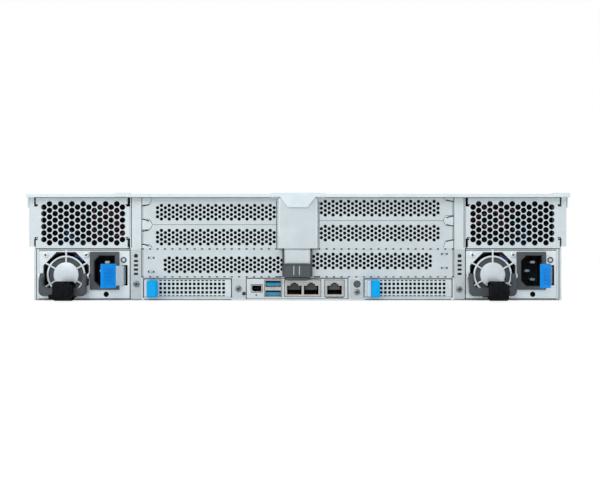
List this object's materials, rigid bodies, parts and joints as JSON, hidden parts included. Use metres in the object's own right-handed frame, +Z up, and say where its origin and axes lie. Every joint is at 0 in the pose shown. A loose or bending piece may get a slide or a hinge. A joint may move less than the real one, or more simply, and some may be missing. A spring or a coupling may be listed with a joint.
{
  "type": "rack server",
  "caption": "Two unit rack server with sliding power supplies, network cards and drives, a release lever, fans and a sliding top cover.",
  "frame": {"origin": "middle of the underside of the chassis, half way along its depth", "axes": "+X to the right for someone behind the server, +Y from the rear face to the front, +Z up"},
  "size_m": [0.4826, 0.8314, 0.0875],
  "materials": {
    "zinc_sheet": "satin",
    "inner_sheet": "satin",
    "top_sheet": "satin",
    "plated_sheet": "satin",
    "supply_case": "satin",
    "dark_moulding": "matte",
    "black_moulding": "matte",
    "blue_moulding": "gloss",
    "strap_weave": "matte",
    "port_shell": "polished",
    "screw_steel": "satin",
    "board_green": "satin",
    "heatsink_metal": "satin",
    "memory_board": "satin",
    "ear_paint": "satin",
    "drive_body": "matte",
    "button_plastic": "gloss"
  },
  "bodies": {
    "chassis": {"base_pan": "zinc_sheet", "rear_frame": "zinc_sheet", "vent_panel_left": "zinc_sheet", "vent_panel_right": "zinc_sheet", "slot_bridge": "zinc_sheet", "riser_cages": "inner_sheet", "slot_cover_1": "plated_sheet", "slot_cover_2": "plated_sheet", "slot_cover_3": "plated_sheet", "slot_cover_4": "plated_sheet", "low_slot_cover_left": "plated_sheet", "low_slot_cover_right": "plated_sheet", "io_plate": "plated_sheet", "usb_ports": "port_shell", "lan_ports": "port_shell", "management_port": "port_shell", "display_port": "port_shell", "rear_screws": "screw_steel", "mainboard": "board_green", "cpu_heatsinks": "heatsink_metal", "memory_modules": "memory_board", "air_duct": "black_moulding", "fan_frames": "black_moulding", "drive_cage": "inner_sheet", "drive_backplane": "board_green", "intake_panel": "ear_paint", "front_cover": "top_sheet", "rack_ear_left": "ear_paint", "rack_ear_right": "ear_paint"},
    "psu_left": {"psu_left_case": "supply_case", "psu_left_inlet": "dark_moulding"},
    "psu_left_handle": {"psu_left_handle": "dark_moulding", "psu_left_strap": "strap_weave"},
    "psu_left_latch": {"psu_left_latch": "blue_moulding"},
    "psu_left_rotor": {"psu_left_rotor": "black_moulding"},
    "psu_right": {"psu_right_case": "supply_case", "psu_right_inlet": "dark_moulding"},
    "psu_right_handle": {"psu_right_handle": "dark_moulding", "psu_right_strap": "strap_weave"},
    "psu_right_latch": {"psu_right_latch": "blue_moulding"},
    "psu_right_rotor": {"psu_right_rotor": "black_moulding"},
    "network_card_left": {"network_card_left": "plated_sheet"},
    "network_card_right": {"network_card_right": "plated_sheet"},
    "slot_lever": {"slot_lever": "dark_moulding"},
    "locator_button": {"locator_button": "button_plastic"},
    "power_button": {"power_button": "button_plastic"},
    "top_cover": {"top_cover": "top_sheet"},
    "cover_latch": {"cover_latch": "blue_moulding"},
    "fan_rotor_1": {"fan_rotor_1": "black_moulding"},
    "fan_rotor_2": {"fan_rotor_2": "black_moulding"},
    "fan_rotor_3": {"fan_rotor_3": "black_moulding"},
    "fan_rotor_4": {"fan_rotor_4": "black_moulding"},
    "drive_1": {"drive_carrier_1": "drive_body"},
    "drive_lever_1": {"drive_lever_1": "blue_moulding"},
    "drive_2": {"drive_carrier_2": "drive_body"},
    "drive_lever_2": {"drive_lever_2": "blue_moulding"},
    "drive_3": {"drive_carrier_3": "drive_body"},
    "drive_lever_3": {"drive_lever_3": "blue_moulding"},
    "drive_4": {"drive_carrier_4": "drive_body"},
    "drive_lever_4": {"drive_lever_4": "blue_moulding"}
  },
  "joints": [
    {"name": "psu_left_slide", "type": "slide", "parent": "chassis", "child": "psu_left", "axis": [0, -1, 0], "range_m": [0, 0.16]},
    {"name": "psu_left_handle_pivot", "type": "hinge", "parent": "psu_left", "child": "psu_left_handle", "pos_m": [-0.1899, -0.4036, 0.0202], "axis": [-1, 0, 0], "range_deg": [0, 60]},
    {"name": "psu_left_latch_flex", "type": "hinge", "parent": "psu_left", "child": "psu_left_latch", "pos_m": [-0.1405, -0.3921, 0.0206], "axis": [0, 0, -1], "range_deg": [0, 5], "stiffness_Nm_per_rad": 0.6, "springref_deg": -1.72},
    {"name": "psu_left_rotor_spin", "type": "hinge", "parent": "psu_left", "child": "psu_left_rotor", "pos_m": [-0.1887, -0.3891, 0.0209], "axis": [0, 1, 0], "continuous": true},
    {"name": "psu_right_slide", "type": "slide", "parent": "chassis", "child": "psu_right", "axis": [0, -1, 0], "range_m": [0, 0.16]},
    {"name": "psu_right_handle_pivot", "type": "hinge", "parent": "psu_right", "child": "psu_right_handle", "pos_m": [0.1576, -0.4036, 0.0202], "axis": [-1, 0, 0], "range_deg": [0, 60]},
    {"name": "psu_right_latch_flex", "type": "hinge", "parent": "psu_right", "child": "psu_right_latch", "pos_m": [0.207, -0.3921, 0.0206], "axis": [0, 0, -1], "range_deg": [0, 5], "stiffness_Nm_per_rad": 0.6, "springref_deg": -1.72},
    {"name": "psu_right_rotor_spin", "type": "hinge", "parent": "psu_right", "child": "psu_right_rotor", "pos_m": [0.1588, -0.3891, 0.0209], "axis": [0, 1, 0], "continuous": true},
    {"name": "network_card_left_slide", "type": "slide", "parent": "chassis", "child": "network_card_left", "axis": [0, -1, 0], "range_m": [0, 0.1]},
    {"name": "network_card_right_slide", "type": "slide", "parent": "chassis", "child": "network_card_right", "axis": [0, -1, 0], "range_m": [0, 0.1]},
    {"name": "slot_lever_pivot", "type": "hinge", "parent": "chassis", "child": "slot_lever", "pos_m": [0, -0.40215, 0.0437], "axis": [-1, 0, 0], "range_deg": [0, 20]},
    {"name": "locator_press", "type": "slide", "parent": "chassis", "child": "locator_button", "axis": [0, 1, 0], "range_m": [0, 0.001], "stiffness_N_per_m": 400, "springref_m": -0.001},
    {"name": "power_press", "type": "slide", "parent": "chassis", "child": "power_button", "axis": [0, -1, 0], "range_m": [0, 0.001], "stiffness_N_per_m": 400, "springref_m": -0.001},
    {"name": "cover_slide", "type": "slide", "parent": "chassis", "child": "top_cover", "axis": [0, -1, 0], "range_m": [0, 0.014]},
    {"name": "cover_latch_pivot", "type": "hinge", "parent": "top_cover", "child": "cover_latch", "pos_m": [0, 0.108, 0.0839], "axis": [-1, 0, 0], "range_deg": [0, 60]},
    {"name": "fan_spin_1", "type": "hinge", "parent": "chassis", "child": "fan_rotor_1", "pos_m": [-0.156, 0.149, 0.0405], "axis": [0, 1, 0], "continuous": true},
    {"name": "fan_spin_2", "type": "hinge", "parent": "chassis", "child": "fan_rotor_2", "pos_m": [-0.052, 0.149, 0.0405], "axis": [0, 1, 0], "continuous": true},
    {"name": "fan_spin_3", "type": "hinge", "parent": "chassis", "child": "fan_rotor_3", "pos_m": [0.052, 0.149, 0.0405], "axis": [0, 1, 0], "continuous": true},
    {"name": "fan_spin_4", "type": "hinge", "parent": "chassis", "child": "fan_rotor_4", "pos_m": [0.156, 0.149, 0.0405], "axis": [0, 1, 0], "continuous": true},
    {"name": "drive_slide_1", "type": "slide", "parent": "chassis", "child": "drive_1", "axis": [0, 1, 0], "range_m": [0, 0.12]},
    {"name": "drive_lever_pivot_1", "type": "hinge", "parent": "drive_1", "child": "drive_lever_1", "pos_m": [-0.11385, 0.3983, 0.0249], "axis": [0, 0, -1], "range_deg": [0, 60]},
    {"name": "drive_slide_2", "type": "slide", "parent": "chassis", "child": "drive_2", "axis": [0, 1, 0], "range_m": [0, 0.12]},
    {"name": "drive_lever_pivot_2", "type": "hinge", "parent": "drive_2", "child": "drive_lever_2", "pos_m": [-0.00735, 0.3983, 0.0249], "axis": [0, 0, -1], "range_deg": [0, 60]},
    {"name": "drive_slide_3", "type": "slide", "parent": "chassis", "child": "drive_3", "axis": [0, 1, 0], "range_m": [0, 0.12]},
    {"name": "drive_lever_pivot_3", "type": "hinge", "parent": "drive_3", "child": "drive_lever_3", "pos_m": [0.09915, 0.3983, 0.0249], "axis": [0, 0, -1], "range_deg": [0, 60]},
    {"name": "drive_slide_4", "type": "slide", "parent": "chassis", "child": "drive_4", "axis": [0, 1, 0], "range_m": [0, 0.12]},
    {"name": "drive_lever_pivot_4", "type": "hinge", "parent": "drive_4", "child": "drive_lever_4", "pos_m": [0.20565, 0.3983, 0.0249], "axis": [0, 0, -1], "range_deg": [0, 60]}
  ],
  "couplings": [
    {"joint": "cover_latch_pivot", "follows": "cover_slide", "rad_per_m": 74.7}
  ]
}
